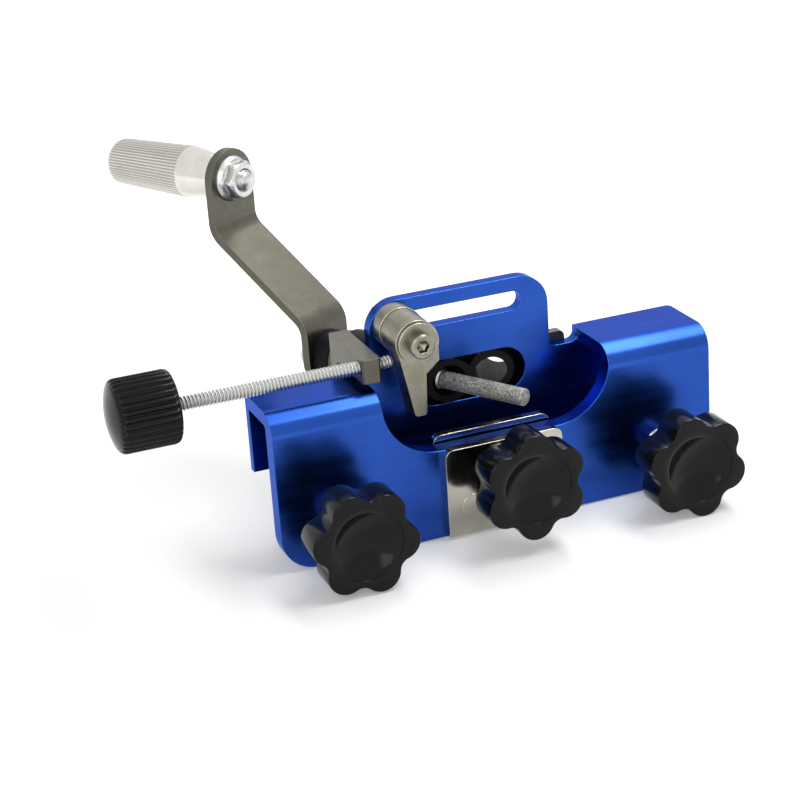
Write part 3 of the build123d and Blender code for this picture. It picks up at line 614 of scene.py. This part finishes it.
tip_start, tip_end = span("rod_tip", rod_point, rod_line)
tip_rings = lathe(rod_end, (0.1, 0.9))
tip_rings += lathe(tip_start, (0, 0.9), (0, 1.15))
tip_rings += thread_rings(tip_start + 0.05 * MM, tip_end - 0.35 * MM, TIP_THREAD)
tip_rings += lathe(tip_end, (-0.25, 1.2), (0, 0.95))
threaded("rod_tip", rod_place, tip_rings, TIP_THREAD, "rod_tip", sides=40, sharp=30)

dome_start, knob_back = span("adjust_knob", rod_point, rod_line)
dome_ball = (KNOB_RADIUS ** 2 + KNOB_DOME ** 2) / (2 * KNOB_DOME)


def dome(radius):
    """The height of the knob's domed end at a radius."""
    return dome_start + dome_ball - math.sqrt(dome_ball ** 2 - radius ** 2)


ribs = fluted(KNOB_RADIUS, RIB_DEPTH, RIB_COUNT, RIB_SHARPNESS)
knob_front = dome(KNOB_RIM)
knob_rings = []
for share in (0.06, 0.2, 0.35, 0.5, 0.65, 0.78):
    knob_rings.append((dome(share * KNOB_RADIUS), circle(share * KNOB_RADIUS)))
knob_rings.append((knob_front, circle(KNOB_RIM)))
for height, share, ribbed in (
    (knob_front + 0.35 * MM, 0.925, 0.15),
    (knob_front + 0.85 * MM, 0.95, 0.6),
    (knob_front + 1.5 * MM, 1.0, 1.0),
    (knob_back - 1.2 * MM, 1.0, 1.0),
    (knob_back - 0.6 * MM, 0.94, 0.7),
    (knob_back - 0.2 * MM, 0.91, 0.25),
):
    knob_rings.append((height, mixed(circle(share * KNOB_RADIUS), ribs, ribbed)))
knob_rings.append((knob_back, circle(KNOB_RIM)))
knob_rings += lathe(knob_back, (0, 4), (-0.3, 2.4))
turned("adjust_knob", rod_place, knob_rings, BLACK_PLASTIC, "adjust_screw", sides=288, sharp=42,
       crest=KNOB_RADIUS, depth=RIB_DEPTH)


# Spindle: file, shaft and nut

FILE_RADIUS = 2 * MM
GRIT_DEPTH = 0.11 * MM
GRIT_RINGS = 130
SHAFT_THREAD = Thread(2.5 * MM, 0.42 * MM, 0.8 * MM)
SHAFT_NUT_FLATS = 8 * MM
SHAFT_NUT_BORE = 2.3 * MM
SHAFT_NUT_BEVEL = 0.35 * MM

spindle_point, tip_line = joint_line("crank_spin")
rear_line = -tip_line
spindle_place = facing(spindle_point, rear_line)

file_start, file_end = span("file", spindle_point, rear_line)
file_body = span("file", spindle_point, rear_line, 1.8 * MM)[1]
file_rings = lathe(file_start, (0, 1.2), (0.06, 1.75))
for k in range(GRIT_RINGS + 1):
    height = file_start + 0.25 * MM + (file_body - file_start - 0.3 * MM) * k / GRIT_RINGS
    file_rings.append((height, gritty(FILE_RADIUS, GRIT_DEPTH, height)))
file_rings += lathe(file_body, (0, 1.7), (0, 1.5))
file_rings += lathe(file_end, (0, 1.5))
turned("file", spindle_place, file_rings, GRIT, "spindle", sides=72, sharp=60)

shaft_start, shaft_end = span("shaft", spindle_point, rear_line)
nut_start, nut_end = span("shaft_nut", spindle_point, rear_line)
shaft_rings = lathe(shaft_start, (0, 2.1), (0.35, 2.5))
shaft_rings += lathe(nut_start, (-1.9, 2.5))
shaft_rings += thread_rings(nut_start - 1.85 * MM, shaft_end - 0.55 * MM, SHAFT_THREAD)
shaft_rings += lathe(shaft_end, (-0.2, 1.7), (0, 0.9))
threaded("shaft", spindle_place, shaft_rings, SHAFT_THREAD, "spindle", sides=48, sharp=32)
shaft_nut_rings = nut_rings(nut_start, nut_end, SHAFT_NUT_FLATS, SHAFT_NUT_BORE, SHAFT_NUT_BEVEL)
turned("shaft_nut", spindle_place, shaft_nut_rings, ZINC, "spindle", sides=144, sharp=25, bored=True)


# Crank handle: bolt, flange nut and knurled grip

FLANGE_NUT_FLATS = 8 * MM
FLANGE_NUT_CORNER = FLANGE_NUT_FLATS / math.sqrt(3)
FLANGE_NUT_RIM = 3.75 * MM
FLANGE_NUT_BEVEL = 0.75 * MM
BOLT_THREAD = Thread(2.5 * MM, 0.4 * MM, 0.8 * MM)
BOLT_SOCKET = 3 * MM
BOLT_SOCKET_DEPTH = 1.8 * MM
BOLT_HEAD_RADIUS = 4 * MM
BOLT_HEAD_EDGE = 0.35 * MM
GRIP_SMALL = 4.8 * MM
GRIP_LARGE = 6.2 * MM
GRIP_END = 5.5 * MM
GRIP_NECK = 9.5 * MM
KNURL_DEPTH = 0.22 * MM
KNURL_COUNT = 50
KNURL_SHARPNESS = 1.6
KNURL_RINGS = 8

grip_point = joint_line("grip_spin")[0]
grip_place = facing(grip_point, rear_line)
seat_start, nut_seat = span("flange_nut", grip_point, rear_line)
flange_rings = lathe(seat_start, (0.5, 2.3), (0, 2.8))
for share in (0.0, 0.35, 0.7, 1.0):
    limit = FLANGE_NUT_RIM + share * (FLANGE_NUT_CORNER - FLANGE_NUT_RIM)
    flange_rings.append((seat_start + FLANGE_NUT_BEVEL * share ** 1.3, hexagon(FLANGE_NUT_FLATS, limit)))
flange_rings.append((nut_seat - 1.5 * MM, hexagon(FLANGE_NUT_FLATS)))
flange_rings += lathe(nut_seat, (-1.25, 4.75), (-0.6, 5.3), (-0.35, 5.4), (0, 5.4), (0, 2.3))
turned("flange_nut", grip_place, flange_rings, ZINC, "spindle", sides=144, sharp=25, bored=True)

bolt_start, bolt_end = span("handle_bolt", grip_point, rear_line)
head_start = span("handle_bolt", grip_point, rear_line, 3.5 * MM)[0]
bolt_rings = lathe(bolt_start, (0, 0.5), (0.12, 1.2), (0.4, 1.8), (0.7, 2.05))
bolt_rings += thread_rings(bolt_start + 0.75 * MM, nut_seat + 1 * MM, BOLT_THREAD)
bolt_rings += lathe(nut_seat, (1.2, 2.5))
bolt_rings += lathe(head_start, (0, 2.5), (0, 4))
bolt_rings += reversed(socket_rings(bolt_end, BOLT_SOCKET_DEPTH, BOLT_SOCKET, BOLT_HEAD_RADIUS,
                                    BOLT_HEAD_EDGE))
threaded("handle_bolt", grip_place, bolt_rings, BOLT_THREAD, "spindle", sides=72, sharp=28)

grip_start, grip_end = span("grip", grip_point, rear_line)


def grip_radius(height):
    """The grip's radius along its knurled body, which slims to the far end."""
    share = (height - grip_start - GRIP_NECK) / (grip_end - grip_start - GRIP_NECK)
    return GRIP_LARGE + share * (GRIP_END - GRIP_LARGE) if share > 0 else 0.0


grip_rings = lathe(grip_start, (0, 2.6), (0, 4.3), (0.15, 4.65), (0.5, 4.8))
for share in (0.25, 0.5, 0.75, 0.9, 1.0):
    radius = GRIP_SMALL + share * (GRIP_LARGE - GRIP_SMALL) * 0.985
    grip_rings.append((grip_start + share * GRIP_NECK, circle(radius)))
knurl_start = grip_start + GRIP_NECK + 0.5 * MM
knurl_end = grip_end - 1.1 * MM
for k in range(KNURL_RINGS + 1):
    height = knurl_start + (knurl_end - knurl_start) * k / KNURL_RINGS
    grip_rings.append((height, fluted(grip_radius(height), KNURL_DEPTH, KNURL_COUNT, KNURL_SHARPNESS)))
for fall, spread in quarter(0.0, 0.3, 0.6, 0.85, 1.0):
    grip_rings.append((grip_end - 0.8 * MM * fall, circle(GRIP_END - 0.02 * MM - 0.75 * MM * spread)))
grip_rings += lathe(grip_end, (0, 4.6), (-0.25, 4.4), (-4.4, 4.4), (-4.5, 4.3))
turned("grip", grip_place, grip_rings, KNURLED_STEEL, "grip", sides=400, sharp=32,
       crest=grip_radius, depth=KNURL_DEPTH)


# Pawl bolt and the socket screws at the back

SCREW_SOCKET = 2.5 * MM
SCREW_EDGE = 0.3 * MM
PAWL_SOCKET_DEPTH = 1.5 * MM
REAR_SOCKET_DEPTH = 1.4 * MM
SMALL_SHANK = 1.5 * MM
SMALL_HEAD_RADIUS = 2.75 * MM
SMALL_HEAD_HEIGHT = 2.6 * MM
LARGE_SHANK = 2 * MM
LARGE_HEAD_RADIUS = 3.6 * MM
LARGE_HEAD_HEIGHT = 2.4 * MM
BLOCK_SCREW_X = 8 * MM

pawl_point = joint_line("pawl_swing")[0]
head_face, pawl_end = span("pawl_bolt", pawl_point, Y)
head_back = head_face + SMALL_HEAD_HEIGHT
pawl_rings = socket_rings(head_face, PAWL_SOCKET_DEPTH, SCREW_SOCKET, SMALL_HEAD_RADIUS, SCREW_EDGE,
                          outward=-1)
pawl_rings += [(head_back, circle(SMALL_HEAD_RADIUS)), (head_back, circle(SMALL_SHANK))]
pawl_rings += lathe(pawl_end, (-0.4, 1.5), (0, 1.1))
turned("pawl_bolt", facing(pawl_point, Y), pawl_rings, PAWL_STEEL, "pawl_carriage", sides=72, sharp=28)


def socket_screws(node, places, head_radius, head_height, shank):
    """Cap screws that enter from the rear, each with a hexagon socket."""
    low, high = span(node, Vector(), Y)
    verts = []
    faces = []
    for x, z in places:
        rings = [(low, circle(shank - SCREW_EDGE)), (low + SCREW_EDGE, circle(shank)),
                 (high - head_height, circle(shank)), (high - head_height, circle(head_radius))]
        rings += reversed(socket_rings(high, REAR_SOCKET_DEPTH, SCREW_SOCKET, head_radius, SCREW_EDGE))
        more_verts, more_faces = turned_mesh(facing(Vector((x, 0, z)), Y), rings, sides=72)
        faces += [tuple(i + len(verts) for i in face) for face in more_faces]
        verts += more_verts
    finished(node, "body", verts, faces, ZINC, sharp=28)


block_height = middle("block_screws").z
socket_screws("block_screws", [(-BLOCK_SCREW_X, block_height), (BLOCK_SCREW_X, block_height)],
              LARGE_HEAD_RADIUS, LARGE_HEAD_HEIGHT, LARGE_SHANK)
bracket_centre = middle("bracket_screw")
socket_screws("bracket_screw", [(bracket_centre.x, bracket_centre.z)],
              SMALL_HEAD_RADIUS, SMALL_HEAD_HEIGHT, SMALL_SHANK)


# Floor, light and camera, in metres

FLOOR_REACH = 1.5
FLOOR_COLOR = (0.86, 0.86, 0.86)
GLOW_NEAR = 0.22
GLOW_FAR = 0.72
GLOW_FROM = 0.08
GLOW_TO = 0.4
WORLD_LIGHT = 0.4
WORLD_SEEN = 1.0

floor_level = cad_box[0][2]
floor_corners = [(FLOOR_REACH * x, FLOOR_REACH * y, floor_level)
                 for x, y in ((-1, -1), (1, -1), (1, 1), (-1, 1))]
floor_mesh = bpy.data.meshes.new("floor")
floor_mesh.from_pydata(floor_corners, [], [(0, 1, 2, 3)])
floor = bpy.data.objects.new("floor", floor_mesh)
bpy.context.scene.collection.objects.link(floor)
floor_material, floor_tree, floor_shader = shader("floor", FLOOR_COLOR, 0.0, 0.9)
floor_shader.inputs["Specular IOR Level"].default_value = 0.0
floor_shader.inputs["Emission Color"].default_value = WHITE
where = new_node(floor_tree, "TexCoord")
distance = new_node(floor_tree, "VectorMath")
distance.operation = "LENGTH"
floor_tree.links.new(where.outputs["Object"], distance.inputs[0])
# Painted light: the floor's glow, seen by camera, mirror and glass rays, grows from 0.08 m to 0.4 m away
# from the middle, which paints out the object's shadow there and keeps only the shadow close to it.
fading = ranged(floor_tree, distance.outputs["Value"], GLOW_NEAR, GLOW_FAR, GLOW_FROM, GLOW_TO)
glow = combined(floor_tree, "MULTIPLY", light_path_share(floor_tree), fading)
floor_tree.links.new(glow, floor_shader.inputs["Emission Strength"])
floor_mesh.materials.append(floor_material)

world = bpy.data.worlds.new("studio")
bpy.context.scene.world = world
world.use_nodes = True
sky = world.node_tree
sky.nodes.clear()
sky_output = new_node(sky, "OutputWorld")
background = new_node(sky, "Background", Color=WHITE)
strength = ranged(sky, light_path_share(sky), WORLD_LIGHT, WORLD_SEEN, 0.0, 1.0)
sky.links.new(strength, background.inputs["Strength"])
sky.links.new(background.outputs["Background"], sky_output.inputs["Surface"])


def soft_lamp(name, place, target, width, length, power):
    """A plain white area lamp that shines from its place to its target."""
    lamp = bpy.data.lights.new(name, "AREA")
    lamp.shape = "RECTANGLE"
    lamp.size = width
    lamp.size_y = length
    lamp.energy = power
    holder = bpy.data.objects.new(name, lamp)
    holder.location = place
    holder.rotation_euler = (Vector(target) - Vector(place)).to_track_quat("-Z", "Y").to_euler()
    bpy.context.scene.collection.objects.link(holder)


soft_lamp("overhead", (0.26, 0.12, 0.62), (0.26, 0.12, 0), width=0.22, length=1.0, power=4.8)
soft_lamp("front_fill", (-0.35, -0.5, 0.3), (0, 0, 0.02), width=0.4, length=0.4, power=1.1)

azimuth, elevation, roll = (math.radians(a) for a in (CAMERA_AZIMUTH, CAMERA_ELEVATION, CAMERA_ROLL))
forward = Vector((math.sin(azimuth) * math.cos(elevation), math.cos(azimuth) * math.cos(elevation),
                  -math.sin(elevation)))
level_right = forward.cross(Z).normalized()
level_up = level_right.cross(forward)
right = math.cos(roll) * level_right - math.sin(roll) * level_up
up = right.cross(forward)
camera_data = bpy.data.cameras.new("camera")
camera_data.lens = CAMERA_LENS
camera_data.sensor_width = SENSOR_WIDTH
camera_data.clip_start = 0.01
camera = bpy.data.objects.new("camera", camera_data)
turn_matrix = Matrix((right, up, -forward)).transposed().to_4x4()
camera.matrix_world = Matrix.Translation(Vector(CAMERA_PLACE) * MM) @ turn_matrix
bpy.context.scene.collection.objects.link(camera)
bpy.context.scene.camera = camera
bpy.context.scene.view_settings.view_transform = "Standard"
